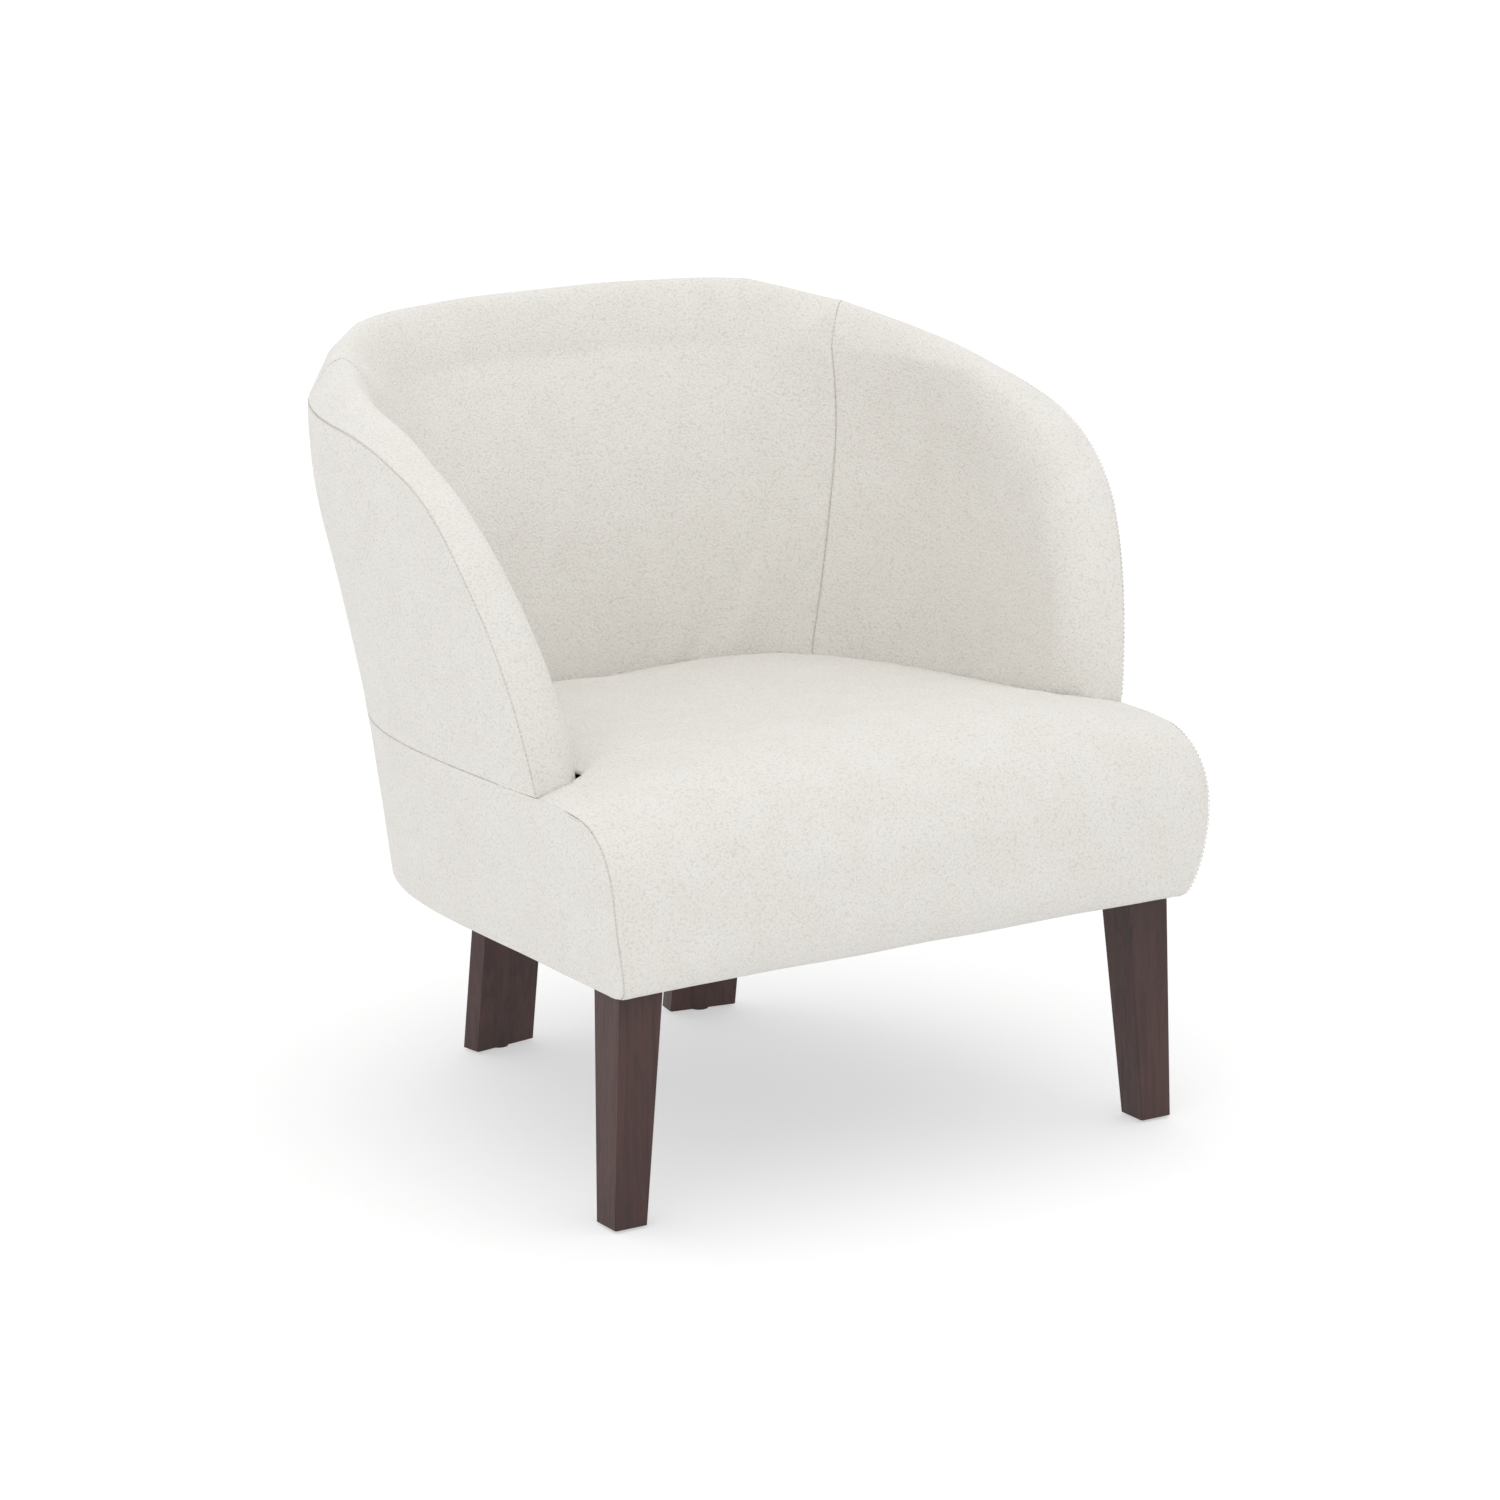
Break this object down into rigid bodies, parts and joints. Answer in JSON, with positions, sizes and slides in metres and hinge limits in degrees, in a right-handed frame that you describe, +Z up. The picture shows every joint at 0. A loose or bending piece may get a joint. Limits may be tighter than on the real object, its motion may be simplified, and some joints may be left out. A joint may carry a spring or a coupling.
{
  "type": "upholstered armchair",
  "caption": "Low upholstered barrel armchair with a rounded back that flows into sloping arms, a tight sprung seat and dark tapered wooden legs.",
  "frame": {"origin": "on the floor under the middle of the bounding box", "axes": "+Z up, the chair faces -Y, +X across the seat; x = 0 is the plane of symmetry. Left nodes lie at -X, which is the left as seen from the front."},
  "size_m": [0.7442, 0.7609, 0.75],
  "materials": {
    "ivory_fabric": "ivory boucle weave with a fine pebbly nap, matte",
    "espresso_wood": "espresso-stained wood, satin lacquer",
    "frame_timber": "bare planed hardwood",
    "plywood": "bare bent plywood",
    "padding_foam": "upholstery foam, matte",
    "zinc_steel": "zinc-plated steel",
    "spring_steel": "oil-tempered spring wire",
    "deck_cloth": "jute deck cloth",
    "dust_cloth": "black non-woven dust cloth",
    "glide_plastic": "matte black plastic"
  },
  "bodies": {
    "root": {"front_leg_left": "espresso_wood", "front_leg_right": "espresso_wood", "rear_leg_left": "espresso_wood", "rear_leg_right": "espresso_wood", "front_glide_left": "glide_plastic", "front_glide_right": "glide_plastic", "rear_glide_left": "glide_plastic", "rear_glide_right": "glide_plastic", "front_leg_bolt_left": "zinc_steel", "front_leg_bolt_right": "zinc_steel", "rear_leg_bolt_left": "zinc_steel", "rear_leg_bolt_right": "zinc_steel", "front_leg_nut_left": "zinc_steel", "front_leg_nut_right": "zinc_steel", "rear_leg_nut_left": "zinc_steel", "rear_leg_nut_right": "zinc_steel", "front_seat_rail": "frame_timber", "side_seat_rail_left": "frame_timber", "side_seat_rail_right": "frame_timber", "rear_seat_rail": "frame_timber", "cross_rail": "frame_timber", "front_corner_block_left": "frame_timber", "front_corner_block_right": "frame_timber", "rear_leg_block_left": "frame_timber", "rear_leg_block_right": "frame_timber", "arm_panel_left": "plywood", "arm_panel_right": "plywood", "back_shell": "plywood", "seat_spring_1": "spring_steel", "front_spring_clip_1": "zinc_steel", "rear_spring_clip_1": "zinc_steel", "seat_spring_2": "spring_steel", "front_spring_clip_2": "zinc_steel", "rear_spring_clip_2": "zinc_steel", "seat_spring_3": "spring_steel", "front_spring_clip_3": "zinc_steel", "rear_spring_clip_3": "zinc_steel", "seat_spring_4": "spring_steel", "front_spring_clip_4": "zinc_steel", "rear_spring_clip_4": "zinc_steel", "spring_deck": "deck_cloth", "seat_foam": "padding_foam", "arm_foam_left": "padding_foam", "arm_foam_right": "padding_foam", "back_foam": "padding_foam", "seat_cover": "ivory_fabric", "inner_arm_cover_left": "ivory_fabric", "inner_arm_cover_right": "ivory_fabric", "inner_back_cover": "ivory_fabric", "outer_arm_cover_left": "ivory_fabric", "outer_arm_cover_right": "ivory_fabric", "outer_back_cover": "ivory_fabric", "base_band_left": "ivory_fabric", "base_band_right": "ivory_fabric", "rear_base_band": "ivory_fabric", "dust_cover": "dust_cloth"}
  },
  "joints": []
}
